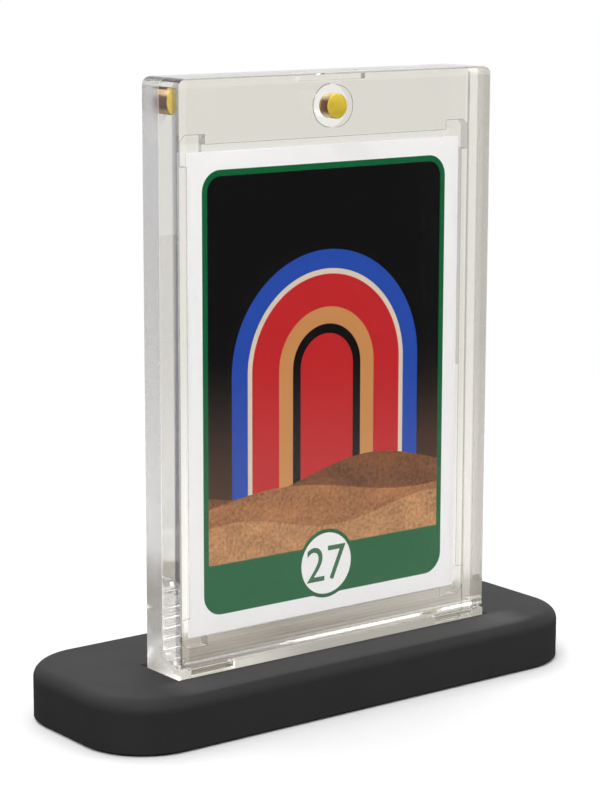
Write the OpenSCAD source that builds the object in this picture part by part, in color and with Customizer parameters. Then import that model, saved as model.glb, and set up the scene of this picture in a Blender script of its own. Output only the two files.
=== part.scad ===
// Display stand for one trading card: a clear two-part magnetic holder that
// stands in a slot of a matt black base.
// Millimetres. +Z is up and -Y is the side the card faces. The origin is the
// centre of the base on the surface that its foot pads rest on.

/* [Base] */
// Length of the base, left to right
base_len = 110; // [100:1:160]
// Depth of the base, front to back
base_dep = 40; // [36:0.5:60]
// Height of the base body, foot pads left out
base_h = 10; // [9:0.2:20]
// Plan radius of the four corners
base_corner_r = 13; // [6:0.5:17]
// Radius of the rounded top edge
base_edge_r = 2.4; // [1:0.1:4]
// Bevel round the bottom edge
base_bottom_bevel = 0.3; // [0.1:0.1:1]
// Distance from the front of the base to the front of the holder
slot_setback = 9.6; // [5:0.1:16]
// Depth of the slot that the holder stands in
slot_depth = 6; // [3:0.1:7]
// Gap between the holder and the front or back wall of the slot
slot_fit = 0.2; // [0.1:0.05:0.5]
// Gap between the holder and each end of the slot
slot_end_fit = 0.6; // [0.2:0.1:1.5]
// Gap left under the holder on the slot's floor
slot_floor_fit = 0.05; // [0.02:0.01:0.2]
// Bevel that guides the holder into the slot
slot_lead_in = 0.4; // [0.1:0.1:1]

/* [Foot pads] */
// Diameter of a foot pad
pad_d = 10; // [6:0.5:12]
// Thickness of a foot pad
pad_t = 1.2; // [0.8:0.1:2]
// Height that a pad stands proud of the base
pad_proud = 0.3; // [0.2:0.1:0.6]
// Gap round a pad in its recess
pad_fit = 0.1; // [0.05:0.05:0.3]
// Distance from the end of the base to the centre of a pad
pad_inset_x = 14; // [12:0.5:25]
// Distance from the front or back of the base to the centre of a pad
pad_inset_y = 10; // [8:0.5:12]

/* [Holder] */
// Width of the clear holder
holder_w = 72.8; // [70:0.2:90]
// Full height of the holder, with the part inside the slot
holder_h = 114.2; // [112:0.2:130]
// Radius of the holder's outline corners
holder_corner_r = 2; // [1:0.1:3]
// Thickness of the front cover
cover_t = 6; // [5:0.1:8]
// Thickness of the rear half behind the parting line
rear_t = 5.3; // [4.5:0.1:8]
// Air gap between the two halves
parting_gap = 0.1; // [0.05:0.05:0.3]
// Bevel on the holder's outer edges
edge_bevel = 0.25; // [0.1:0.05:0.5]

/* [Ledge and hinge] */
// Height of the ledge above the top of the base
ledge_rise = 1.3; // [1:0.1:3]
// Radius of the cover's rounded lower front edge, which it tilts on
tilt_r = 1.2; // [0.8:0.1:1.8]
// Gap between the cover and the ledge
seat_gap = 0.1; // [0.05:0.05:0.2]
// Length of each hooked tab under the cover
tab_len = 9.4; // [7:0.2:18]
// Thickness of a tab
tab_t = 1; // [0.6:0.1:1.4]
// Length that a tab reaches below the cover
tab_drop = 1.4; // [1:0.1:2]
// Distance from the holder's end to a tab
tab_inset = 2.6; // [2.4:0.1:6]
// Gap round a tab in its pocket
tab_fit = 0.2; // [0.1:0.05:0.4]
// Width of the locating lug at each end of the ledge
lug_w = 1.6; // [1:0.1:2]
// Height of a lug above the ledge
lug_h = 1.4; // [0.8:0.1:2.5]
// Gap round a lug in its notch
lug_fit = 0.15; // [0.1:0.05:0.3]

/* [Card] */
// Width of the card
card_w = 63.5; // [60:0.1:66]
// Height of the card
card_h = 88.9; // [84:0.1:91]
// Thickness of the card
card_t = 0.4; // [0.2:0.05:0.6]

/* [Card recess] */
// Depth of the recess in the rear half
recess_d = 0.95; // [0.7:0.05:1.5]
// Gap at each side of the card
card_side_fit = 0.3; // [0.1:0.05:0.6]
// Gap below the card
card_bottom_fit = 0.05; // [0.02:0.01:0.3]
// Gap behind the card
card_back_fit = 0.05; // [0.02:0.01:0.2]
// Free height above the card
recess_headroom = 1.4; // [0.5:0.1:2]
// Width that a corner relief reaches past the side of the recess
relief_side = 1.4; // [0.5:0.1:2]
// Height that a corner relief reaches past the end of the recess
relief_end = 1.8; // [0.5:0.1:2]
// Length of a corner relief along the top or bottom of the recess
relief_len_x = 3.9; // [2:0.1:6]
// Length of a corner relief along the side of the recess
relief_len_z = 3.7; // [2:0.1:8]
// Cut across the outer corner of a relief
relief_cut = 1; // [0.2:0.1:1.4]
// Depth of a corner relief below the floor of the recess
relief_drop = 0.9; // [0.2:0.1:1.5]

/* [Magnets] */
// Diameter of each magnet
magnet_d = 4.5; // [3:0.1:5]
// Thickness of each magnet
magnet_t = 3.6; // [2:0.1:3.8]
// Bevel on a magnet's rims
magnet_bevel = 0.2; // [0.1:0.05:0.4]
// Gap round a magnet in its bore
magnet_fit = 0.05; // [0.02:0.01:0.15]
// Distance from the holder's top to the magnets' centre
magnet_drop = 6.2; // [5.8:0.1:8]
// Diameter of the round ring sunk round each magnet
ring_d = 7.8; // [6:0.1:8.6]
// Depth of the ring in the cover, where the magnet stands in a shallow socket at its floor
ring_depth = 3.2; // [0.2:0.1:3.6]
// Depth of the ring in the rear half
rear_ring_depth = 0.4; // [0.2:0.1:1]
// Wall between that ring and the top of the card recess
ring_wall = 1.9; // [1:0.1:3.5]

/* [Thumb notch] */
// Width of the notch that opens the cover
notch_w = 15.2; // [10:0.2:25]
// Height of the notch
notch_h = 1.5; // [0.6:0.1:1.8]
// Depth of the notch in the cover's back
notch_d = 1.2; // [0.8:0.1:2]

/* [Hidden] */

$fn = 64;
// Overlap that lets a cut pass clean through a face
eps = 1;

// Heights
base_top = pad_proud + base_h;
slot_floor = base_top - slot_depth;
holder_bottom = slot_floor + slot_floor_fit;
holder_top = holder_bottom + holder_h;
ledge_top = base_top + ledge_rise;
cover_bottom = ledge_top + seat_gap;
tilt_z = cover_bottom + tilt_r;
magnet_z = holder_top - magnet_drop;
// Depth of a magnet's bore, and of the floor that the front magnet stands on
bore_depth = magnet_t + magnet_fit;
front_seat = max(bore_depth, ring_depth);

// Depths, from the front of the base to the back
holder_front = slot_setback - base_dep / 2;
parting_y = holder_front + cover_t;
holder_back = parting_y + rear_t;
cover_back = parting_y - parting_gap;
tilt_y = holder_front + tilt_r;
recess_floor = parting_y + recess_d;
tab_front = tilt_y - tab_t / 2;
// Reach of a tab from the line that the cover tilts about
tab_reach = norm([tab_t / 2, tilt_r + tab_drop]);
// Room for the lugs starts behind the rounded edge that the cover tilts on
lug_notch_front = tilt_y + tilt_r;
lug_front = lug_notch_front + lug_fit;

// Card and recess outline, placed below the magnets
recess_w = card_w + 2 * card_side_fit;
recess_top = magnet_z - ring_d / 2 - ring_wall;
card_bottom = recess_top - recess_headroom - card_h;
recess_bottom = card_bottom - card_bottom_fit;

// Foot pad places
pad_x = base_len / 2 - pad_inset_x;
pad_y = base_dep / 2 - pad_inset_y;

// A box between two corners
module span(low, high) {
    translate(low)
        cube(high - low);
}

// A cylinder along X between two places
module bar_x(r, x0, x1, y, z) {
    translate([x0, y, z])
        rotate([0, 90, 0])
            cylinder(r = r, h = x1 - x0);
}

// A cylinder along Y between two places
module bar_y(r, y0, y1, x, z) {
    translate([x, y0, z])
        rotate([-90, 0, 0])
            cylinder(r = r, h = y1 - y0);
}

// Half of the base's section: a rounded top edge and a bevelled bottom edge,
// reaching out to x = reach
module base_edge_section(reach) {
    top_z = base_h - base_edge_r;
    polygon([
        [0, 0],
        [reach - base_bottom_bevel, 0],
        [reach, base_bottom_bevel],
        [reach, top_z],
        [reach - base_edge_r, top_z],
        [reach - base_edge_r, base_h],
        [0, base_h]
    ]);
    translate([reach - base_edge_r, top_z])
        circle(r = base_edge_r);
}

// The base's solid block: round corners with straight runs between them
module base_block() {
    corner_x = base_len / 2 - base_corner_r;
    corner_y = base_dep / 2 - base_corner_r;
    for (x = [-corner_x, corner_x], y = [-corner_y, corner_y])
        translate([x, y, 0])
            rotate_extrude()
                base_edge_section(base_corner_r);
    for (side = [0, 180]) {
        rotate([90, 0, side + 90])
            translate([0, 0, -corner_x])
                linear_extrude(2 * corner_x)
                    base_edge_section(base_dep / 2);
        rotate([90, 0, side])
            translate([0, 0, -corner_y])
                linear_extrude(2 * corner_y)
                    base_edge_section(base_len / 2);
    }
}

// Section of the slot's bevelled mouth, between two walls, opening upwards
module mouth_section(low, high) {
    rise = slot_lead_in + eps;
    polygon([
        [low, base_top - slot_lead_in],
        [high, base_top - slot_lead_in],
        [high + rise, base_top + eps],
        [low - rise, base_top + eps]
    ]);
}

// The slot that the holder stands in, with a bevel on all four sides of its mouth
module base_slot() {
    half_w = holder_w / 2 + slot_end_fit;
    front = holder_front - slot_fit;
    back = holder_back + slot_fit;
    span([-half_w, front, slot_floor], [half_w, back, base_top + eps]);
    intersection() {
        translate([0, base_dep / 2, 0])
            rotate([90, 0, 0])
                linear_extrude(base_dep)
                    mouth_section(-half_w, half_w);
        translate([-base_len / 2, 0, 0])
            rotate([90, 0, 90])
                linear_extrude(base_len)
                    mouth_section(front, back);
    }
}

module at_pads() {
    for (x = [-pad_x, pad_x], y = [-pad_y, pad_y])
        translate([x, y, 0])
            children();
}

module display_base() {
    color([0.13, 0.13, 0.13])
        difference() {
            translate([0, 0, pad_proud])
                base_block();
            base_slot();
            at_pads()
                cylinder(r = pad_d / 2 + pad_fit, h = pad_t);
        }
}

// One foot pad: side is -1 for left and 1 for right, end is -1 for front
module foot_pad(side, end) {
    color([0.2, 0.2, 0.2])
        translate([side * pad_x, end * pad_y, 0])
            cylinder(r = pad_d / 2, h = pad_t);
}

// The holder's outline, round at its corners, as a block between two depths
module holder_outline(y0, y1) {
    cx = holder_w / 2 - holder_corner_r;
    low = holder_bottom + holder_corner_r;
    high = holder_top - holder_corner_r;
    for (x = [-cx, cx], z = [low, high])
        bar_y(holder_corner_r, y0, y1, x, z);
    span([-cx, y0, holder_bottom], [cx, y1, holder_top]);
    span([-holder_w / 2, y0, low], [holder_w / 2, y1, high]);
}

// Bevels the upright edges and the top edge of the holder at one depth:
// out is -1 at the front face and 1 at the back face
module outer_edge_cuts(y, out) {
    side = edge_bevel * sqrt(2);
    for (x = [-holder_w / 2, holder_w / 2])
        translate([x, y, (holder_bottom + holder_top) / 2])
            rotate([0, 0, 45])
                cube([side, side, holder_h + 2 * eps], center = true);
    translate([0, y, holder_top])
        rotate([45, 0, 0])
            cube([holder_w + 2 * eps, side, side], center = true);
}

// The card's place in the rear half, with a relief at each corner
module card_recess() {
    span([-recess_w / 2, parting_y - eps, recess_bottom],
         [recess_w / 2, recess_floor, recess_top]);
    for (side = [-1, 1])
        for (end = [-1, 1])
            corner_relief(side, end);
}

module corner_relief(side, end) {
    end_z = end < 0 ? recess_bottom : recess_top;
    points = [
        [-relief_len_x, relief_end],
        [relief_side - relief_cut, relief_end],
        [relief_side, relief_end - relief_cut],
        [relief_side, -relief_len_z],
        [-relief_len_x, -relief_len_z]
    ];
    translate([side * recess_w / 2, recess_floor + relief_drop, end_z])
        scale([side, 1, end])
            rotate([90, 0, 0])
                linear_extrude(relief_drop + recess_d + eps)
                    polygon(points);
}

// A magnet's bore and the ring round it, from a face at y:
// into is -1 where the bore goes forward and 1 where it goes back
module magnet_seat(y, into, ring) {
    bar_y(magnet_d / 2 + magnet_fit, min(y - into * eps, y + into * bore_depth),
          max(y - into * eps, y + into * bore_depth), 0, magnet_z);
    bar_y(ring_d / 2, min(y - into * eps, y + into * ring),
          max(y - into * eps, y + into * ring), 0, magnet_z);
}

module magnet(y_low) {
    color([0.8, 0.65, 0.24])
        translate([0, y_low, magnet_z])
            rotate([-90, 0, 0])
                rotate_extrude()
                    polygon([
                        [0, 0],
                        [magnet_d / 2 - magnet_bevel, 0],
                        [magnet_d / 2, magnet_bevel],
                        [magnet_d / 2, magnet_t - magnet_bevel],
                        [magnet_d / 2 - magnet_bevel, magnet_t],
                        [0, magnet_t]
                    ]);
}

// Left end of a tab on one side of the holder
function tab_start(side) = side < 0 ? tab_inset - holder_w / 2 : holder_w / 2 - tab_inset - tab_len;

// The pockets that the tabs swing in
module tab_pockets() {
    for (side = [-1, 1]) {
        x0 = tab_start(side) - tab_fit;
        span([x0, tab_front - tab_fit, tilt_z - tab_reach - tab_fit],
             [x0 + tab_len + 2 * tab_fit, tilt_y + tab_reach + tab_fit, ledge_top + eps]);
    }
}

module ledge_lugs() {
    for (side = [-1, 1]) {
        x0 = side < 0 ? -holder_w / 2 : holder_w / 2 - lug_w;
        span([x0, lug_front, ledge_top - eps],
             [x0 + lug_w, parting_y + eps, ledge_top + lug_h]);
    }
}

module rear_half() {
    color([0.82, 0.84, 0.86, 0.5])
        difference() {
            union() {
                holder_outline(parting_y, holder_back);
                intersection() {
                    holder_outline(holder_front, parting_y + eps);
                    span([-holder_w, holder_front, holder_bottom],
                         [holder_w, parting_y + eps, ledge_top]);
                }
                ledge_lugs();
            }
            card_recess();
            magnet_seat(parting_y, 1, rear_ring_depth);
            tab_pockets();
            outer_edge_cuts(holder_back, 1);
        }
}

// The cover's two hooked tabs, with round ends
module cover_tabs() {
    tip_z = tilt_z - tilt_r - tab_drop + tab_t / 2;
    for (side = [-1, 1]) {
        x0 = tab_start(side);
        span([x0, tab_front, tip_z], [x0 + tab_len, tab_front + tab_t, tilt_z]);
        bar_x(tab_t / 2, x0, x0 + tab_len, tilt_y, tip_z);
    }
}

// The cover's foot: rounded along its front edge, which it tilts on, and along
// its back edge between the lugs, so that both clear the rear half
module cover_foot() {
    between = holder_w / 2 - lug_w - lug_fit;
    heel_y = cover_back - tilt_r;
    bar_x(tilt_r, -holder_w / 2, holder_w / 2, tilt_y, tilt_z);
    bar_x(tilt_r, -between, between, heel_y, tilt_z);
    span([-between, tilt_y, cover_bottom], [between, heel_y, tilt_z + eps]);
}

// Room in the cover for the lugs at the ends of the ledge
module lug_notches() {
    inner = holder_w / 2 - lug_w - lug_fit;
    for (side = [-1, 1]) {
        x0 = side < 0 ? -holder_w / 2 - eps : inner;
        x1 = side < 0 ? -inner : holder_w / 2 + eps;
        span([x0, lug_notch_front, cover_bottom], [x1, parting_y, ledge_top + lug_h + lug_fit]);
    }
}

module thumb_notch() {
    span([-notch_w / 2, cover_back - notch_d, holder_top - notch_h],
         [notch_w / 2, cover_back + eps, holder_top + eps]);
}

module front_cover() {
    color([0.86, 0.88, 0.9, 0.4])
        difference() {
            union() {
                intersection() {
                    holder_outline(holder_front, cover_back);
                    span([-holder_w, holder_front, tilt_z], [holder_w, cover_back, holder_top]);
                }
                cover_foot();
                cover_tabs();
            }
            lug_notches();
            thumb_notch();
            magnet_seat(cover_back, -1, ring_depth);
            outer_edge_cuts(holder_front, -1);
        }
}

// Each magnet sits on the floor of its bore
module rear_magnet() {
    magnet(parting_y + magnet_fit);
}

module front_magnet() {
    magnet(cover_back - front_seat);
}

module trading_card() {
    color([0.93, 0.93, 0.92])
        span([-card_w / 2, recess_floor - card_back_fit - card_t, card_bottom],
             [card_w / 2, recess_floor - card_back_fit, card_bottom + card_h]);
}

display_base();
foot_pad(-1, -1);  // foot_pad_front_left
foot_pad(1, -1);  // foot_pad_front_right
foot_pad(-1, 1);  // foot_pad_rear_left
foot_pad(1, 1);  // foot_pad_rear_right
rear_half();
front_cover();
rear_magnet();
front_magnet();
trading_card();
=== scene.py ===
import math
import bmesh
import bpy
from mathutils import Matrix, Vector


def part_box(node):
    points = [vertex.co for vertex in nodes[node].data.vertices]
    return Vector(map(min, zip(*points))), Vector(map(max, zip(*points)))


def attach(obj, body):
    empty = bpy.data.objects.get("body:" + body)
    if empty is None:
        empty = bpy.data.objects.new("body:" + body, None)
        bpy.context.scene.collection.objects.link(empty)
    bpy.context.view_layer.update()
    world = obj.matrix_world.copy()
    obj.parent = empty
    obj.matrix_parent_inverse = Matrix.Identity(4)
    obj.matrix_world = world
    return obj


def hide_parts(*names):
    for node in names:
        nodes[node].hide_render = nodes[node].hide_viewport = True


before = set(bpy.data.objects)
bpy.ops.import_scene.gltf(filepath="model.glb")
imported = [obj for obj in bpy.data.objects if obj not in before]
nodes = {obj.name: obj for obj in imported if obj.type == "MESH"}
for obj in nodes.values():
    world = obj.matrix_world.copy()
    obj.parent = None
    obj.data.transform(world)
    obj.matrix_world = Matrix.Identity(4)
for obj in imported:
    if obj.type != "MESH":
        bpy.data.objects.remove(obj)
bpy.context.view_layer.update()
mm = 0.001
cardLow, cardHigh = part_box("trading_card")
coverLow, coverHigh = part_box("front_cover")
magnetLow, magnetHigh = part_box("front_magnet")
cardMiddleZ = (cardLow.z + cardHigh.z) / 2
print("frame loaded with", len(nodes), "nodes")


# Camera, fitted to the edges of the card, the holder and the base in the photograph

cameraSettings = {
    "place": (-281.4 * mm, -366.0 * mm, 144.8 * mm),
    "yaw": 37.41,
    "pitch": 10.87,
    "roll": 0.14,
    "lens": 111.2,
    "sensor": 36,
    "clip": (0.01, 20),
}


def makeCamera(settings):
    yaw = math.radians(settings["yaw"])
    pitch = math.radians(settings["pitch"])
    forward = Vector((math.sin(yaw) * math.cos(pitch),
                      math.cos(yaw) * math.cos(pitch),
                      -math.sin(pitch)))
    right = Vector((math.cos(yaw), -math.sin(yaw), 0.0))
    up = right.cross(forward)
    turn = Matrix((right, up, -forward)).transposed()
    turn = turn @ Matrix.Rotation(math.radians(settings["roll"]), 3, "Z")
    data = bpy.data.cameras.new("camera")
    data.lens = settings["lens"]
    data.sensor_fit = "AUTO"
    data.sensor_width = settings["sensor"]
    data.clip_start, data.clip_end = settings["clip"]
    camera = bpy.data.objects.new("camera", data)
    camera.matrix_world = Matrix.Translation(settings["place"]) @ turn.to_4x4()
    bpy.context.collection.objects.link(camera)
    bpy.context.scene.camera = camera


makeCamera(cameraSettings)
print("camera placed")


# Small helpers for shader nodes

def addNode(tree, kind, **values):
    node = tree.nodes.new(kind)
    for name, value in values.items():
        setattr(node, name, value)
    return node


def feed(tree, value, socket):
    if isinstance(value, bpy.types.NodeSocket):
        tree.links.new(value, socket)
    else:
        socket.default_value = value


def calc(tree, operation, *values):
    node = addNode(tree, "ShaderNodeMath", operation=operation)
    for i, value in enumerate(values):
        feed(tree, value, node.inputs[i])
    return node.outputs[0]


def mixColor(tree, factor, first, second, blend="MIX"):
    node = addNode(tree, "ShaderNodeMix", data_type="RGBA", blend_type=blend)
    feed(tree, factor, node.inputs["Factor"])
    feed(tree, first, node.inputs[6])
    feed(tree, second, node.inputs[7])
    return node.outputs[2]


def spread(tree, value, low, high, outLow=0.0, outHigh=1.0, smooth=False):
    node = addNode(tree, "ShaderNodeMapRange")
    node.interpolation_type = "SMOOTHSTEP" if smooth else "LINEAR"
    feed(tree, value, node.inputs["Value"])
    for name, number in (("From Min", low), ("From Max", high), ("To Min", outLow), ("To Max", outHigh)):
        feed(tree, number, node.inputs[name])
    return node.outputs["Result"]


def objectPlace(tree):
    return addNode(tree, "ShaderNodeTexCoord").outputs["Object"]


def objectNormal(tree):
    return addNode(tree, "ShaderNodeTexCoord").outputs["Normal"]


def partsOf(tree, vector):
    split = addNode(tree, "ShaderNodeSeparateXYZ")
    feed(tree, vector, split.inputs[0])
    return split.outputs


def lengthOf(tree, first, second):
    squares = [calc(tree, "MULTIPLY", value, value) for value in (first, second)]
    return calc(tree, "SQRT", calc(tree, "ADD", *squares))


def below(tree, value, limit):
    return calc(tree, "LESS_THAN", value, limit)


def above(tree, value, limit):
    return calc(tree, "GREATER_THAN", value, limit)


def allOf(tree, *masks):
    joined = masks[0]
    for mask in masks[1:]:
        joined = calc(tree, "MULTIPLY", joined, mask)
    return joined


def notIn(tree, mask):
    return calc(tree, "SUBTRACT", 1.0, mask)


def addNoise(tree, place, scale, detail):
    noise = addNode(tree, "ShaderNodeTexNoise")
    feed(tree, place, noise.inputs["Vector"])
    feed(tree, scale, noise.inputs["Scale"])
    noise.inputs["Detail"].default_value = detail
    return noise


def stretched(tree, place, factors):
    stretch = addNode(tree, "ShaderNodeVectorMath", operation="MULTIPLY")
    feed(tree, place, stretch.inputs[0])
    stretch.inputs[1].default_value = factors
    return stretch.outputs[0]


def newMaterial(name):
    material = bpy.data.materials.new(name)
    material.use_nodes = True
    tree = material.node_tree
    return material, tree, tree.nodes["Principled BSDF"]


def dress(node, material):
    slots = nodes[node].material_slots
    for slot in slots:
        slot.material = material
    if not slots:
        nodes[node].data.materials.append(material)


def newGroup(name, inputs, outputs):
    group = bpy.data.node_groups.new(name, "ShaderNodeTree")
    for label, kind, value in inputs:
        socket = group.interface.new_socket(label, in_out="INPUT", socket_type=kind)
        if value is not None:
            socket.default_value = value
    for label in outputs:
        group.interface.new_socket(label, in_out="OUTPUT", socket_type="NodeSocketFloat")
    return group, group.nodes.new("NodeGroupInput"), group.nodes.new("NodeGroupOutput")


# Fine moulded grain: a small height, and slow patches that change the finish

grainNoise = {
    "range": (0.3, 0.7),
    "detail": {"Height": 3.0, "Patch": 2.0},
}


def makeGrainGroup(look):
    group, given, result = newGroup(
        "mouldedGrain",
        [("Place", "NodeSocketVector", None),
         ("Grain Size", "NodeSocketFloat", 0.4 * mm),
         ("Patch Size", "NodeSocketFloat", 20 * mm)],
        ["Height", "Patch"])
    for label, size in (("Height", "Grain Size"), ("Patch", "Patch Size")):
        scale = calc(group, "DIVIDE", 1.0, given.outputs[size])
        noise = addNoise(group, given.outputs["Place"], scale, look["detail"][label])
        feed(group, spread(group, noise.outputs["Fac"], *look["range"]), result.inputs[label])
    return group


# Marks of handling: faint smudges and a few hairline scratches

handlingNoise = {
    "smudgeDetail": 4.0,
    "smudgeSwirl": 0.6,
    "smudgeRange": (0.5, 0.75),
    "scratchDetail": 6.0,
    "scratchStretch": (1.0, 1.0, 0.06),
    "scratchRange": (0.66, 0.72),
}


def makeHandlingGroup(look):
    group, given, result = newGroup(
        "handlingMarks",
        [("Place", "NodeSocketVector", None),
         ("Smudge Size", "NodeSocketFloat", 12 * mm),
         ("Scratch Size", "NodeSocketFloat", 4 * mm)],
        ["Smudge", "Scratch"])
    scale = calc(group, "DIVIDE", 1.0, given.outputs["Smudge Size"])
    smudge = addNoise(group, given.outputs["Place"], scale, look["smudgeDetail"])
    smudge.inputs["Distortion"].default_value = look["smudgeSwirl"]
    feed(group, spread(group, smudge.outputs["Fac"], *look["smudgeRange"]), result.inputs["Smudge"])
    scale = calc(group, "DIVIDE", 1.0, given.outputs["Scratch Size"])
    place = stretched(group, given.outputs["Place"], look["scratchStretch"])
    scratch = addNoise(group, place, scale, look["scratchDetail"])
    feed(group, spread(group, scratch.outputs["Fac"], *look["scratchRange"]), result.inputs["Scratch"])
    return group


grainGroup = makeGrainGroup(grainNoise)
handlingGroup = makeHandlingGroup(handlingNoise)


def placeGroup(tree, group, **values):
    node = addNode(tree, "ShaderNodeGroup", node_tree=group)
    feed(tree, objectPlace(tree), node.inputs["Place"])
    for name, value in values.items():
        node.inputs[name.replace("_", " ")].default_value = value
    return node


def placeGrain(tree, look):
    return placeGroup(tree, grainGroup, Grain_Size=look["grainSize"], Patch_Size=look["patchSize"])


def placeHandling(tree, look):
    return placeGroup(tree, handlingGroup, Smudge_Size=look["smudgeSize"],
                      Scratch_Size=look["scratchSize"])


def addRoughness(tree, value, look, shader):
    feed(tree, spread(tree, value, 0.0, 1.0, *look["roughness"]), shader.inputs["Roughness"])


def addBump(tree, grain, look, shader):
    bump = addNode(tree, "ShaderNodeBump")
    bump.inputs["Strength"].default_value = look["grainStrength"]
    bump.inputs["Distance"].default_value = look["grainDepth"]
    feed(tree, grain.outputs["Height"], bump.inputs["Height"])
    feed(tree, bump.outputs["Normal"], shader.inputs["Normal"])


# Base: matt black plastic with a fine grain. The behind colours are the light that it shows
# through the holder, and the front ones a faint light on its top, both as in the photograph

basePlastic = {
    "dark": (0.0065, 0.0065, 0.0067, 1.0),
    "light": (0.0085, 0.0085, 0.0087, 1.0),
    "roughness": (0.72, 0.78),
    "smudgeGloss": 0.05,
    "smudgeSize": 22 * mm,
    "scratchSize": 5 * mm,
    "grainSize": 0.35 * mm,
    "grainStrength": 0.35,
    "grainDepth": 0.03 * mm,
    "patchSize": 14 * mm,
    "index": 1.45,
    "behindLeft": (0.80, 0.77, 0.73, 1.0),
    "behindRight": (0.52, 0.50, 0.47, 1.0),
    "behindChange": (-16 * mm, -2 * mm),
    "frontLight": (0.072, 0.072, 0.072, 1.0),
    "frontPower": 2.0,
    "frontFlat": (0.8, 0.95),
    "frontRound": (0.96, 1.0),
    "frontRoundGain": 2.0,
    "frontFade": 2 * mm,
    "frontReach": (38 * mm, 44 * mm),
}


def makeBasePlastic(look):
    material, tree, shader = newMaterial("baseMattBlack")
    grain = placeGrain(tree, look)
    handling = placeHandling(tree, look)
    tone = mixColor(tree, grain.outputs["Patch"], look["dark"], look["light"])
    feed(tree, tone, shader.inputs["Base Color"])
    rough = spread(tree, grain.outputs["Patch"], 0.0, 1.0, *look["roughness"])
    polish = calc(tree, "MULTIPLY", handling.outputs["Smudge"], look["smudgeGloss"])
    feed(tree, calc(tree, "SUBTRACT", rough, polish), shader.inputs["Roughness"])
    addBump(tree, grain, look, shader)
    shader.inputs["IOR"].default_value = look["index"]

    # In the photograph the base shows light, not black, where it is seen through the holder
    lightPath = addNode(tree, "ShaderNodeLightPath")
    place = partsOf(tree, objectPlace(tree))
    x = place["X"]
    y = place["Y"]
    light = mixColor(tree, spread(tree, x, *look["behindChange"]), look["behindLeft"], look["behindRight"])
    behind = allOf(tree, lightPath.outputs["Is Transmission Ray"], above(tree, y, coverLow.y))

    # The top in front of the holder mirrors the dark card at a low angle, but not in the
    # photograph. A faint light makes up for it, stronger where the edge begins to round
    layer = addNode(tree, "ShaderNodeLayerWeight")
    normalZ = partsOf(tree, objectNormal(tree))["Z"]
    inFront = allOf(tree, calc(tree, "POWER", layer.outputs["Facing"], look["frontPower"]),
                    spread(tree, normalZ, *look["frontFlat"]),
                    spread(tree, normalZ, *look["frontRound"], look["frontRoundGain"], 1.0),
                    spread(tree, y, coverLow.y - look["frontFade"], coverLow.y, 1.0, 0.0),
                    spread(tree, calc(tree, "ABSOLUTE", x), *look["frontReach"], 1.0, 0.0, smooth=True))
    black = (0.0, 0.0, 0.0, 1.0)
    glow = mixColor(tree, behind, mixColor(tree, inFront, black, look["frontLight"]), light)
    feed(tree, glow, shader.inputs["Emission Color"])
    shader.inputs["Emission Strength"].default_value = 1.0
    return material


dress("display_base", makeBasePlastic(basePlastic))


# Foot pads: dark rubber

padRubber = {
    "dark": (0.030, 0.030, 0.030, 1.0),
    "light": (0.050, 0.050, 0.049, 1.0),
    "roughness": (0.75, 0.92),
    "grainSize": 0.25 * mm,
    "grainStrength": 0.5,
    "grainDepth": 0.04 * mm,
    "patchSize": 3 * mm,
    "index": 1.52,
}


def makePadRubber(look):
    material, tree, shader = newMaterial("padRubber")
    grain = placeGrain(tree, look)
    tone = mixColor(tree, grain.outputs["Patch"], look["dark"], look["light"])
    feed(tree, tone, shader.inputs["Base Color"])
    addRoughness(tree, grain.outputs["Height"], look, shader)
    addBump(tree, grain, look, shader)
    shader.inputs["IOR"].default_value = look["index"]
    return material


padMaterial = makePadRubber(padRubber)
for name in nodes:
    if name.startswith("foot_pad"):
        dress(name, padMaterial)


# Clear holder: polished acrylic that light passes through. Its tone changes from place to place
# as in the photograph. The sizes of the window, its corner reliefs, the ring round the magnet
# and the notch are the part's own. Square and turned are limits on a normal's part along an
# axis, for a face that is square to the axis and one that is turned from it

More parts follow.
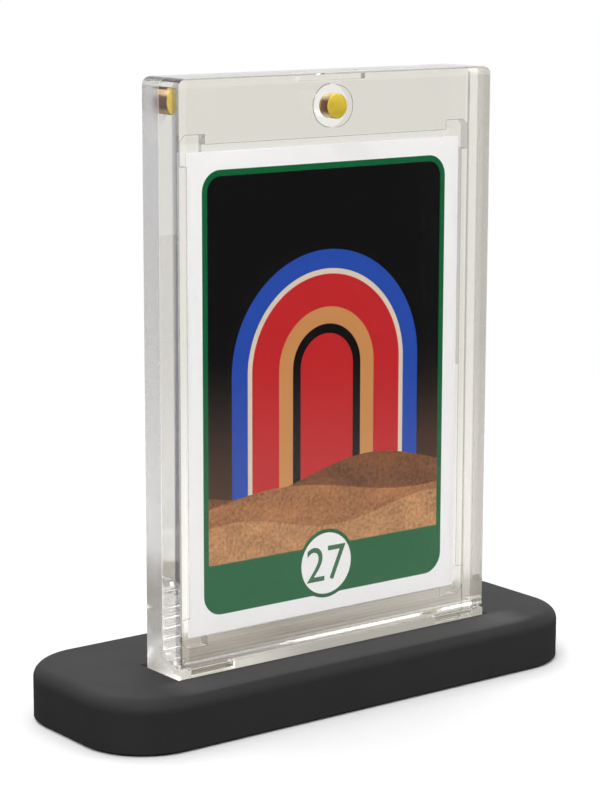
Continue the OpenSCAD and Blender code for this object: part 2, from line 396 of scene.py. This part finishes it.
# The first three tints are the plastic's own colour, its marks and its clear window. All the tints after
# them are painted shade, with painted light at the front face's ends and a painted reflection in the side
# strips
clearPlastic = {
    "tint": (0.925, 0.915, 0.875, 1.0),
    "tintMarks": (0.905, 0.895, 0.850, 1.0),
    "tintWindow": (0.995, 0.990, 0.965, 1.0),
    "tintWallShade": (0.60, 0.56, 0.55, 1.0),
    "tintRimShade": (0.34, 0.31, 0.31, 1.0),
    "tintStripReflection": (0.33, 0.32, 0.34, 1.0),
    "tintBevelShade": (0.30, 0.29, 0.28, 1.0),
    "tintRoundShade": {"left": (0.42, 0.40, 0.38, 1.0), "right": (0.80, 0.79, 0.77, 1.0)},
    "tintSideShade": {"low": (1.0, 1.0, 1.0, 1.0), "high": (0.68, 0.68, 0.70, 1.0)},
    "tintEndLightAndShade": {"light": (1.0, 0.995, 0.965, 1.0), "dark": (0.51, 0.49, 0.465, 1.0),
                "darkest": (0.38, 0.36, 0.34, 1.0)},
    "tintTopShade": {"rear_half": (0.42, 0.41, 0.39, 1.0), "front_cover": (0.16, 0.155, 0.15, 1.0)},
    "tintFootShade": {"left": (0.67, 0.645, 0.61, 1.0), "right": (0.97, 0.96, 0.93, 1.0)},
    "lightEnds": {"left": -34.6 * mm, "right": (30.0 * mm, 32.9 * mm)},
    "darkEnd": {"from": (32.8 * mm, 33.2 * mm), "darkestFrom": (33.9 * mm, 34.9 * mm)},
    "markStrength": 0.5,
    "footFrom": 1.4 * mm,
    "footPower": 1.2,
    "roundReach": 2.6 * mm,
    "stripWidth": 1.7 * mm,
    "stripBlur": 0.2 * mm,
    "notchReach": (7.8 * mm, 1.4 * mm, 1.7 * mm),
    "rimWidth": 0.12 * mm,
    "wallSkin": 0.1 * mm,
    "faceSkin": 1 * mm,
    "sideSkin": 0.1 * mm,
    "topSkin": 0.3 * mm,
    "square": 0.9,
    "turned": 0.5,
    "bevelSlope": (0.707, 0.15),
    "window": {"side": 0.3 * mm, "top": 1.4 * mm, "bottom": 0.05 * mm},
    "relief": {"side": 1.4 * mm, "end": 1.8 * mm, "alongX": 3.9 * mm, "alongZ": 3.7 * mm, "cut": 1.0 * mm},
    "ring": {"radius": 3.9 * mm, "depth": 3.2 * mm, "rearDepth": 0.4 * mm, "slack": 0.05 * mm},
    "roughness": (0.0, 0.006),
    "sideRoughness": {"rear_half": 0.22, "front_cover": 0.02},
    "smudgeSize": 15 * mm,
    "scratchSize": 6 * mm,
    "index": 1.49,
    "gloss": 0.03,
    "shadowAlpha": 0.03,
    "depthColor": (0.55, 0.53, 0.50, 1.0),
    "depthDensity": 7.0,
}


def recessMasks(tree, acrossX, z, look, grow):
    # The card's window seen from the front, and the same with its corner reliefs, both
    # made larger all round by grow
    window = look["window"]
    relief = look["relief"]
    low = cardLow.z - window["bottom"]
    high = cardHigh.z + window["top"]
    halfX = cardHigh.x + window["side"]
    halfZ = (high - low) / 2
    acrossZ = calc(tree, "ABSOLUTE", calc(tree, "SUBTRACT", z, (low + high) / 2))
    outX = halfX + relief["side"]
    outZ = halfZ + relief["end"]
    cutReach = outX + outZ - relief["cut"] + math.sqrt(2) * grow
    inWindow = allOf(tree, below(tree, acrossX, halfX + grow), below(tree, acrossZ, halfZ + grow))
    inRelief = allOf(tree, above(tree, acrossX, halfX - relief["alongX"] - grow),
                     above(tree, acrossZ, halfZ - relief["alongZ"] - grow),
                     below(tree, acrossX, outX + grow),
                     below(tree, acrossZ, outZ + grow),
                     below(tree, calc(tree, "ADD", acrossX, acrossZ), cutReach))
    return inWindow, calc(tree, "MAXIMUM", inWindow, inRelief)


def makeClearPlastic(node, look):
    material, tree, shader = newMaterial("clear_" + node)
    handling = placeHandling(tree, look)
    marks = calc(tree, "MAXIMUM", handling.outputs["Smudge"], handling.outputs["Scratch"])
    x, y, z = partsOf(tree, objectPlace(tree))
    normalX, normalY, normalZ = partsOf(tree, objectNormal(tree))
    acrossX = calc(tree, "ABSOLUTE", x)
    sideways = calc(tree, "ABSOLUTE", normalX)
    facing = calc(tree, "ABSOLUTE", normalY)
    faceOn = above(tree, facing, look["square"])
    edgeOn = below(tree, facing, look["turned"])
    rightward = spread(tree, x, coverLow.x, coverHigh.x)
    faintMarks = calc(tree, "MULTIPLY", marks, look["markStrength"])
    tint = mixColor(tree, faintMarks, look["tint"], look["tintMarks"])

    # Painted shade: the faces are darker below the card, the more so towards the left
    footShade = mixColor(tree, calc(tree, "POWER", rightward, look["footPower"]),
                        look["tintFootShade"]["left"], look["tintFootShade"]["right"])
    isFoot = allOf(tree, faceOn, above(tree, z, coverLow.z + look["footFrom"]),
                   below(tree, z, cardLow.z - look["window"]["bottom"]))
    tint = mixColor(tree, isFoot, tint, footShade)

    # The rings round the magnets are filled with clear cement, so that only two rims show: to
    # the left the one at the parting, and to the right the one at the floor of the cover's ring
    ring = look["ring"]
    up = calc(tree, "SUBTRACT", z, (magnetLow.z + magnetHigh.z) / 2)
    out = lengthOf(tree, x, up)
    inSeat = allOf(tree, below(tree, out, ring["radius"] + ring["slack"]),
                   above(tree, y, coverLow.y + look["faceSkin"]),
                   below(tree, y, coverHigh.y + ring["rearDepth"] + 2 * ring["slack"]))
    leftRim = allOf(tree, calc(tree, "COMPARE", y, coverHigh.y, look["rimWidth"]), below(tree, x, 0.0))
    rightRim = allOf(tree, calc(tree, "COMPARE", y, coverHigh.y - ring["depth"], look["rimWidth"]),
                     above(tree, x, 0.0))
    isRim = allOf(tree, calc(tree, "MAXIMUM", leftRim, rightRim),
                  calc(tree, "COMPARE", out, ring["radius"], look["rimWidth"]))
    # The two rims are painted dark, as lines of shade
    tint = mixColor(tree, isRim, tint, look["tintRimShade"])
    hidden = allOf(tree, inSeat, notIn(tree, isRim))

    if node == "rear_half":
        # The thin window behind the card is the clearest part. The cut walls of its upper half
        # are painted dark as shade, and so is the rim round it
        inWindow, inShape = recessMasks(tree, acrossX, z, look, 0.0)
        nearShape = recessMasks(tree, acrossX, z, look, look["rimWidth"])[1]
        deepWindow = recessMasks(tree, acrossX, z, look, -look["wallSkin"])[0]
        tint = mixColor(tree, inWindow, tint, look["tintWindow"])
        wall = allOf(tree, edgeOn, nearShape, notIn(tree, deepWindow), above(tree, z, cardMiddleZ))
        tint = mixColor(tree, wall, tint, look["tintWallShade"])
        rim = allOf(tree, faceOn, below(tree, y, cardLow.y), calc(tree, "SUBTRACT", nearShape, inShape))
        tint = mixColor(tree, rim, tint, look["tintRimShade"])
    else:
        # A darker strip of painted reflection runs down each side next to the front edge
        stripEnd = coverLow.y + look["stripWidth"]
        strip = allOf(tree, above(tree, sideways, look["turned"]),
                      spread(tree, y, stripEnd - look["stripBlur"], stripEnd + look["stripBlur"], 1.0, 0.0))
        tint = mixColor(tree, strip, tint, look["tintStripReflection"])
        # The cut walls of the thumb notch, painted dark as shade
        reachX, reachY, reachZ = look["notchReach"]
        notch = allOf(tree, edgeOn, below(tree, acrossX, reachX), above(tree, y, coverHigh.y - reachY),
                      above(tree, z, coverHigh.z - reachZ))
        tint = mixColor(tree, notch, tint, look["tintWallShade"])
        # Painted light and shade: the front face is lighter at its left end, and lighter and then darker at
        # its right
        isFace = allOf(tree, faceOn, below(tree, y, coverLow.y + look["faceSkin"]))
        lightFrom, lightTo = look["lightEnds"]["right"]
        lightEnd = calc(tree, "ADD", below(tree, x, look["lightEnds"]["left"]),
                        allOf(tree, above(tree, x, lightFrom), below(tree, x, lightTo)))
        tint = mixColor(tree, allOf(tree, isFace, lightEnd), tint, look["tintEndLightAndShade"]["light"])
        darkEnd = spread(tree, x, *look["darkEnd"]["from"])
        darkTone = mixColor(tree, spread(tree, x, *look["darkEnd"]["darkestFrom"]),
                            look["tintEndLightAndShade"]["dark"], look["tintEndLightAndShade"]["darkest"])
        tint = mixColor(tree, allOf(tree, isFace, darkEnd), tint, darkTone)
        # Painted shade: the rounded foot is the darkest towards the left
        isRound = below(tree, z, coverLow.z + look["roundReach"])
        roundShade = mixColor(tree, rightward, look["tintRoundShade"]["left"], look["tintRoundShade"]["right"])
        tint = mixColor(tree, isRound, tint, roundShade)

    # The two ends are less well polished than the faces. On the rear half they are painted darker upwards,
    # as shade
    isSide = allOf(tree, above(tree, sideways, look["square"]),
                   above(tree, acrossX, coverHigh.x - look["sideSkin"]))
    if node == "rear_half":
        paintedSideTone = mixColor(tree, spread(tree, z, coverLow.z, coverHigh.z), look["tintSideShade"]["low"],
                            look["tintSideShade"]["high"])
        tint = mixColor(tree, isSide, tint, paintedSideTone)
    # The top faces are painted darker, as shade
    isTop = allOf(tree, above(tree, normalZ, look["square"]),
                  above(tree, z, coverHigh.z - look["topSkin"]))
    tint = mixColor(tree, isTop, tint, look["tintTopShade"][node])
    # The bevels are painted dark, as lines of shade along the edges
    bevel = calc(tree, "COMPARE", facing, *look["bevelSlope"])
    tint = mixColor(tree, bevel, tint, look["tintBevelShade"])
    feed(tree, tint, shader.inputs["Base Color"])
    rough = spread(tree, marks, 0.0, 1.0, *look["roughness"])
    rough = calc(tree, "MULTIPLY_ADD", isSide, look["sideRoughness"][node], rough)
    feed(tree, rough, shader.inputs["Roughness"])
    shader.inputs["IOR"].default_value = look["index"]
    shader.inputs["Specular IOR Level"].default_value = look["gloss"]
    shader.inputs["Transmission Weight"].default_value = 1.0
    lightPath = addNode(tree, "ShaderNodeLightPath")
    alpha = spread(tree, lightPath.outputs["Is Shadow Ray"], 0.0, 1.0, 1.0, look["shadowAlpha"])
    feed(tree, calc(tree, "MULTIPLY", alpha, notIn(tree, hidden)), shader.inputs["Alpha"])

    # Long ways through the plastic, as from end to end, come out greyer
    depth = addNode(tree, "ShaderNodeVolumeAbsorption")
    depth.inputs["Color"].default_value = look["depthColor"]
    depth.inputs["Density"].default_value = look["depthDensity"]
    tree.links.new(depth.outputs[0], tree.nodes["Material Output"].inputs["Volume"])
    return material


for name in ("front_cover", "rear_half"):
    dress(name, makeClearPlastic(name, clearPlastic))


# Magnets: nickel under a thin gold plating

goldPlating = {
    "light": (0.84, 0.66, 0.085, 1.0),
    "deep": (0.76, 0.55, 0.055, 1.0),
    "sideReflectionDark": (0.16, 0.06, 0.03, 1.0),
    "sideReflectionLight": (0.80, 0.60, 0.30, 1.0),
    "sideSlope": 0.4,
    "sideChange": (0.35, 0.85),
    "roughness": (0.42, 0.52),
    "grainSize": 0.15 * mm,
    "grainStrength": 0.2,
    "grainDepth": 0.01 * mm,
    "patchSize": 1.6 * mm,
}


def makeGoldPlating(look):
    material, tree, shader = newMaterial("goldPlating")
    grain = placeGrain(tree, look)
    tone = mixColor(tree, grain.outputs["Patch"], look["light"], look["deep"])
    # Painted reflection: the turned side is dark where it is upright, and light above and below
    normal = partsOf(tree, objectNormal(tree))
    isSide = below(tree, calc(tree, "ABSOLUTE", normal["Y"]), look["sideSlope"])
    level = spread(tree, calc(tree, "ABSOLUTE", normal["Z"]), *look["sideChange"], smooth=True)
    paintedSideTone = mixColor(tree, level, look["sideReflectionDark"], look["sideReflectionLight"])
    feed(tree, mixColor(tree, isSide, tone, paintedSideTone), shader.inputs["Base Color"])
    addRoughness(tree, grain.outputs["Height"], look, shader)
    addBump(tree, grain, look, shader)
    shader.inputs["Metallic"].default_value = 1.0
    return material


goldMaterial = makeGoldPlating(goldPlating)
for name in ("rear_magnet", "front_magnet"):
    dress(name, goldMaterial)

# The magnets' flat faces lie right on the floors of their bores, which a glass surface can't
# show, so each is turned again with a round rim: the rear one a hair smaller, and the front
# one a hair larger than its bore, because it shows without any air round it

magnetDisc = {
    "shy": {"front_magnet": -0.06 * mm, "rear_magnet": 0.02 * mm},
    "rim": 0.2 * mm,
    "rimSteps": 5,
    "turns": 96,
    "sharpFrom": 30,
}


def makeMagnetDisc(node, body, look):
    low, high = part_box(node)
    middle = (low + high) / 2
    shy = look["shy"][node]
    rim = look["rim"]
    radius = (high.x - low.x) / 2 - shy
    half = (high.y - low.y) / 2 - shy
    profile = [(0.0, -half)]
    for step in range(look["rimSteps"] + 1):
        angle = math.radians(90) * step / look["rimSteps"]
        profile.append((radius - rim * (1 - math.sin(angle)), -half + rim * (1 - math.cos(angle))))
    profile += [(r, -y) for r, y in reversed(profile)]
    shape = bmesh.new()
    rings = []
    for r, y in profile:
        if r == 0.0:
            rings.append([shape.verts.new((0.0, y, 0.0))])
            continue
        ring = []
        for turn in range(look["turns"]):
            angle = 2 * math.pi * turn / look["turns"]
            ring.append(shape.verts.new((r * math.cos(angle), y, r * math.sin(angle))))
        rings.append(ring)
    for first, second in zip(rings, rings[1:]):
        for turn in range(look["turns"]):
            after = (turn + 1) % look["turns"]
            corners = [first[turn % len(first)], first[after % len(first)],
                       second[after % len(second)], second[turn % len(second)]]
            face = shape.faces.new(list(dict.fromkeys(corners)))
            face.smooth = True
    bmesh.ops.recalc_face_normals(shape, faces=shape.faces)
    mesh = bpy.data.meshes.new(node + "_disc")
    shape.to_mesh(mesh)
    shape.free()
    mesh.transform(Matrix.Translation(middle))
    mesh.set_sharp_from_angle(angle=math.radians(look["sharpFrom"]))
    mesh.materials.append(goldMaterial)
    disc = bpy.data.objects.new(node + "_disc", mesh)
    bpy.context.collection.objects.link(disc)
    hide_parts(node)
    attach(disc, body)


makeMagnetDisc("front_magnet", "cover", magnetDisc)
makeMagnetDisc("rear_magnet", "holder", magnetDisc)
print("plastic, rubber and plating done")


# Card: white stock with a generic print of arches over dunes, a green frame, a bare
# band and a round badge with a plain number. Heights are from the card's middle

cardPrint = {
    "paper": (0.87, 0.88, 0.94, 1.0),
    "green": (0.004, 0.115, 0.040, 1.0),
    "night": (0.0035, 0.0030, 0.0035, 1.0),
    "glow": (0.060, 0.022, 0.010, 1.0),
    "blue": (0.020, 0.070, 0.420, 1.0),
    "cream": (0.680, 0.600, 0.500, 1.0),
    "red": (0.500, 0.020, 0.025, 1.0),
    "tan": (0.560, 0.260, 0.095, 1.0),
    "farSand": (0.200, 0.075, 0.026, 1.0),
    "midSand": (0.400, 0.170, 0.068, 1.0),
    "nearSand": (0.540, 0.270, 0.120, 1.0),
    "backPanel": (0.560, 0.580, 0.540, 1.0),
    "frameInset": 3.3 * mm,
    "frameBand": 1.15 * mm,
    "frameCorner": 4.0 * mm,
    "bandHeight": 9.5 * mm,
    "badgeRadius": 6.7 * mm,
    "badgeRing": 0.75 * mm,
    "badgeRise": 1.2 * mm,
    "glowChange": (-22 * mm, 12 * mm),
    "archCentre": 3.0 * mm,
    "archBands": [(22.0 * mm, "blue"), (18.4 * mm, "cream"), (17.4 * mm, "red"),
                  (11.2 * mm, "tan"), (8.0 * mm, "night"), (6.2 * mm, "red")],
    "dunes": [
        {"level": -17.5 * mm, "swing": 2.6 * mm, "rate": 110.0, "start": 0.4, "color": "farSand"},
        {"level": -21.0 * mm, "swing": 2.0 * mm, "rate": 95.0, "start": 2.6, "color": "midSand"},
        {"level": -26.0 * mm, "swing": 1.8 * mm, "rate": 130.0, "start": 4.4, "color": "nearSand"},
    ],
    "sand": {"scale": 1500.0, "detail": 6.0, "share": 0.55},
    "drift": {"scale": 260.0, "detail": 5.0, "share": 0.45, "stretch": (0.4, 1.0, 1.0)},
    "gritRange": (0.32, 0.68),
    "gritTone": (0.4, 1.3),
    "backLineInset": 0.6 * mm,
    "backLineHalf": 0.25 * mm,
    "backPanelInset": 1.6 * mm,
    "dotSize": 0.02 * mm,
    "skin": 0.02 * mm,
    "tone": (0.97, 1.02),
    "roughness": (0.32, 0.42),
    "grainSize": 0.18 * mm,
    "grainStrength": 0.1,
    "grainDepth": 0.01 * mm,
    "patchSize": 9 * mm,
    "gloss": 0.02,
}


def makeCardPrint(look):
    material, tree, shader = newMaterial("cardPrint")
    width = cardHigh.x - cardLow.x
    height = cardHigh.z - cardLow.z
    x, y, fromFloor = partsOf(tree, objectPlace(tree))
    z = calc(tree, "SUBTRACT", fromFloor, cardMiddleZ)

    def within(distance):
        # 1 where a distance is below zero, with the soft edge of a printed dot
        return spread(tree, distance, -look["dotSize"], look["dotSize"], 1.0, 0.0)

    def roundedBox(halfWidth, halfHeight, radius):
        dx = calc(tree, "SUBTRACT", calc(tree, "ABSOLUTE", x), halfWidth - radius)
        dz = calc(tree, "SUBTRACT", calc(tree, "ABSOLUTE", z), halfHeight - radius)
        length = lengthOf(tree, calc(tree, "MAXIMUM", dx, 0.0), calc(tree, "MAXIMUM", dz, 0.0))
        return calc(tree, "SUBTRACT", length, radius)

    # Night sky, lit a little above the dunes
    glow = spread(tree, z, *look["glowChange"], 1.0, 0.0, smooth=True)
    picture = mixColor(tree, calc(tree, "MULTIPLY", glow, glow), look["night"], look["glow"])

    # Nested arches: a half circle on two straight legs
    overCentre = calc(tree, "MAXIMUM", calc(tree, "SUBTRACT", z, look["archCentre"]), 0.0)
    arch = lengthOf(tree, x, overCentre)
    for radius, color in look["archBands"]:
        picture = mixColor(tree, within(calc(tree, "SUBTRACT", arch, radius)), picture, look[color])

    # Dunes in three layers, the near one lightest, with sand in their tone
    sand = look["sand"]
    drift = look["drift"]
    fine = addNoise(tree, objectPlace(tree), sand["scale"], sand["detail"])
    coarse = addNoise(tree, stretched(tree, objectPlace(tree), drift["stretch"]), drift["scale"],
                      drift["detail"])
    grit = calc(tree, "ADD", calc(tree, "MULTIPLY", fine.outputs["Fac"], sand["share"]),
                calc(tree, "MULTIPLY", coarse.outputs["Fac"], drift["share"]))
    shade = spread(tree, grit, *look["gritRange"], *look["gritTone"])
    for dune in look["dunes"]:
        wave = calc(tree, "SINE", calc(tree, "MULTIPLY_ADD", x, dune["rate"], dune["start"]))
        crest = calc(tree, "MULTIPLY_ADD", wave, dune["swing"], dune["level"])
        tone = mixColor(tree, 1.0, look[dune["color"]], shade, blend="MULTIPLY")
        picture = mixColor(tree, within(calc(tree, "SUBTRACT", z, crest)), picture, tone)

    # Green frame with the bare band at the foot of the picture
    outer = roundedBox(width / 2 - look["frameInset"], height / 2 - look["frameInset"], look["frameCorner"])
    inner = calc(tree, "ADD", outer, look["frameBand"])
    bandTop = -height / 2 + look["frameInset"] + look["bandHeight"]
    front = mixColor(tree, within(outer), look["paper"], look["green"])
    inPicture = calc(tree, "MULTIPLY", within(inner), within(calc(tree, "SUBTRACT", bandTop, z)))
    front = mixColor(tree, inPicture, front, picture)

    # Badge in the middle of the band, a little raised
    badgeZ = bandTop - look["bandHeight"] / 2 + look["badgeRise"]
    badge = lengthOf(tree, x, calc(tree, "SUBTRACT", z, badgeZ))
    badgeRounds = ((look["badgeRadius"], "green"), (look["badgeRadius"] - look["badgeRing"], "paper"))
    for radius, color in badgeRounds:
        front = mixColor(tree, within(calc(tree, "SUBTRACT", badge, radius)), front, look[color])

    # Plain back: a pale panel in a green line
    fromLine = calc(tree, "ABSOLUTE", calc(tree, "ADD", outer, look["backLineInset"]))
    line = within(calc(tree, "SUBTRACT", fromLine, look["backLineHalf"]))
    panel = within(calc(tree, "ADD", outer, look["backPanelInset"]))
    back = mixColor(tree, panel, look["paper"], look["backPanel"])
    back = mixColor(tree, line, back, look["green"])

    # Which side of the card: front, back or cut edge
    color = mixColor(tree, below(tree, y, cardLow.y + look["skin"]), look["paper"], front)
    color = mixColor(tree, above(tree, y, cardHigh.y - look["skin"]), color, back)
    grain = placeGrain(tree, look)
    tone = spread(tree, grain.outputs["Height"], 0.0, 1.0, *look["tone"])
    feed(tree, mixColor(tree, 1.0, color, tone, blend="MULTIPLY"), shader.inputs["Base Color"])
    addRoughness(tree, grain.outputs["Patch"], look, shader)
    addBump(tree, grain, look, shader)
    shader.inputs["Specular IOR Level"].default_value = look["gloss"]
    return material, badgeZ


cardMaterial, badgeHeight = makeCardPrint(cardPrint)
dress("trading_card", cardMaterial)


# The badge's number, in a thin layer of ink

badgeNumber = {
    "text": "27",
    "height": 7.0 * mm,
    "capitalShare": 0.72,
    "thickness": 0.02 * mm,
    "curveSteps": 8,
    "color": cardPrint["green"],
    "tone": (0.94, 1.04),
    "roughness": (0.34, 0.44),
    "grainSize": 0.15 * mm,
    "patchSize": 4 * mm,
}


def makeInk(look):
    material, tree, shader = newMaterial("numberInk")
    grain = placeGrain(tree, look)
    tone = spread(tree, grain.outputs["Height"], 0.0, 1.0, *look["tone"])
    feed(tree, mixColor(tree, 1.0, look["color"], tone, blend="MULTIPLY"), shader.inputs["Base Color"])
    addRoughness(tree, grain.outputs["Patch"], look, shader)
    return material


def makeBadgeNumber(look, badgeZ):
    data = bpy.data.curves.new("numberShape", "FONT")
    data.body = look["text"]
    data.align_x = "CENTER"
    data.align_y = "CENTER"
    data.size = look["height"] / look["capitalShare"]
    data.extrude = look["thickness"] / 2
    data.resolution_u = look["curveSteps"]
    shape = bpy.data.objects.new("numberShape", data)
    bpy.context.collection.objects.link(shape)
    bpy.context.view_layer.update()
    mesh = bpy.data.meshes.new_from_object(shape.evaluated_get(bpy.context.evaluated_depsgraph_get()))
    bpy.data.objects.remove(shape)
    middle = (Vector([max(v.co[i] for v in mesh.vertices) for i in range(3)])
              + Vector([min(v.co[i] for v in mesh.vertices) for i in range(3)])) / 2
    mesh.transform(Matrix.Translation(-middle))
    mesh.transform(Matrix.Rotation(math.radians(90), 4, "X"))
    mesh.transform(Matrix.Translation((0.0, cardLow.y - look["thickness"] / 2, cardMiddleZ + badgeZ)))
    mesh.materials.clear()
    mesh.materials.append(makeInk(look))
    number = bpy.data.objects.new("badge_number", mesh)
    bpy.context.collection.objects.link(number)
    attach(number, "holder")


makeBadgeNumber(badgeNumber, badgeHeight)
print("card printed")


# Floor, world and lamps, in metres

studio = {
    "floorColor": (0.80, 0.80, 0.80, 1.0),
    "floorRoughness": 0.9,
    "floorRadius": 6.0,
    "whiteFrom": 0.10,
    "whiteTo": 0.40,
    "ambient": (0.72, 0.72, 0.73, 1.0),
    "white": (1.0, 1.0, 1.0, 1.0),
    "blackSide": (0.60, -0.78, -0.19),
    "blackEdge": (0.78, 0.93),
    "blackShade": 0.04,
    "lampTarget": (0.0, 0.0, 0.05),
    "bounces": 40,
}


def studioShade(tree, direction, look):
    # White, but light that leaves the plastic after one mirroring meets a black flag to the
    # front right
    toward = addNode(tree, "ShaderNodeVectorMath", operation="NORMALIZE")
    feed(tree, direction, toward.inputs[0])
    dot = addNode(tree, "ShaderNodeVectorMath", operation="DOT_PRODUCT")
    tree.links.new(toward.outputs[0], dot.inputs[0])
    dot.inputs[1].default_value = look["blackSide"]
    black = spread(tree, dot.outputs["Value"], *look["blackEdge"], 1.0, look["blackShade"], smooth=True)
    lightPath = addNode(tree, "ShaderNodeLightPath")
    through = lightPath.outputs["Is Transmission Ray"]
    once = allOf(tree, through, calc(tree, "COMPARE", lightPath.outputs["Glossy Depth"], 1.0, 0.5))
    seen = calc(tree, "MAXIMUM", lightPath.outputs["Is Camera Ray"],
                calc(tree, "MAXIMUM", lightPath.outputs["Is Glossy Ray"], through))
    return seen, spread(tree, once, 0.0, 1.0, 1.0, black)


def makeFloor(look):
    mesh = bpy.data.meshes.new("floor")
    r = look["floorRadius"]
    mesh.from_pydata([(-r, -r, 0), (r, -r, 0), (r, r, 0), (-r, r, 0)], [], [(0, 1, 2, 3)])
    floor = bpy.data.objects.new("floor", mesh)
    bpy.context.collection.objects.link(floor)
    material, tree, shader = newMaterial("floorPale")
    feed(tree, look["floorColor"], shader.inputs["Base Color"])
    shader.inputs["Roughness"].default_value = look["floorRoughness"]
    shader.inputs["Specular IOR Level"].default_value = 0.0
    length = addNode(tree, "ShaderNodeVectorMath", operation="LENGTH")
    feed(tree, objectPlace(tree), length.inputs[0])
    far = spread(tree, length.outputs["Value"], look["whiteFrom"], look["whiteTo"], smooth=True)
    seen, shade = studioShade(tree, objectPlace(tree), look)
    white = addNode(tree, "ShaderNodeEmission")
    feed(tree, shade, white.inputs["Strength"])
    join = addNode(tree, "ShaderNodeMixShader")
    feed(tree, calc(tree, "MULTIPLY", far, seen), join.inputs[0])
    tree.links.new(shader.outputs[0], join.inputs[1])
    tree.links.new(white.outputs[0], join.inputs[2])
    tree.links.new(join.outputs[0], tree.nodes["Material Output"].inputs["Surface"])
    mesh.materials.append(material)


# A dark cloth lies on the floor all round the object. Only reflections see it, and it keeps the
# clear face and the sides of the base from washing out, as a black flag does

darkCloth = {
    "left": -1.5,
    "right": 1.5,
    "front": -1.5,
    "back": 0.6,
    "rise": 0.1 * mm,
    "shade": (0.03, 0.03, 0.03, 1.0),
    "roughness": 0.95,
}


def makeDarkCloth(look):
    mesh = bpy.data.meshes.new("darkCloth")
    z = look["rise"]
    corners = [(look["left"], look["front"], z), (look["right"], look["front"], z),
               (look["right"], look["back"], z), (look["left"], look["back"], z)]
    mesh.from_pydata(corners, [], [(0, 1, 2, 3)])
    material, tree, shader = newMaterial("blackCloth")
    feed(tree, look["shade"], shader.inputs["Base Color"])
    shader.inputs["Roughness"].default_value = look["roughness"]
    shader.inputs["Specular IOR Level"].default_value = 0.0
    mesh.materials.append(material)
    cloth = bpy.data.objects.new("darkCloth", mesh)
    bpy.context.collection.objects.link(cloth)
    cloth.visible_camera = False
    cloth.visible_diffuse = False
    cloth.visible_transmission = False
    cloth.visible_shadow = False


def makeWorld(look):
    world = bpy.data.worlds.new("studio")
    bpy.context.scene.world = world
    world.use_nodes = True
    tree = world.node_tree
    background = tree.nodes["Background"]
    seen, shade = studioShade(tree, addNode(tree, "ShaderNodeTexCoord").outputs["Generated"], look)
    feed(tree, mixColor(tree, seen, look["ambient"], look["white"]), background.inputs["Color"])
    feed(tree, shade, background.inputs["Strength"])


lamps = [
    {"name": "keyLamp", "place": (-0.9, -0.7, 1.1), "size": 0.9, "power": 14.0},
    {"name": "fillLamp", "place": (1.1, -0.9, 0.7), "size": 1.0, "power": 6.0},
    {"name": "topLamp", "place": (0.1, 0.5, 1.3), "size": 1.0, "power": 8.0},
]


def makeLamps(rows, look):
    target = Vector(look["lampTarget"])
    for row in rows:
        data = bpy.data.lights.new(row["name"], "AREA")
        data.size = row["size"]
        data.energy = row["power"]
        lamp = bpy.data.objects.new(row["name"], data)
        place = Vector(row["place"])
        aim = (target - place).to_track_quat("-Z", "Y").to_matrix().to_4x4()
        lamp.matrix_world = Matrix.Translation(place) @ aim
        bpy.context.collection.objects.link(lamp)


makeFloor(studio)
makeDarkCloth(darkCloth)
makeWorld(studio)
makeLamps(lamps, studio)
bpy.context.scene.view_settings.view_transform = "Standard"
cycles = bpy.context.scene.cycles
cycles.max_bounces = studio["bounces"]
cycles.glossy_bounces = studio["bounces"]
cycles.transmission_bounces = studio["bounces"]
print("studio ready")
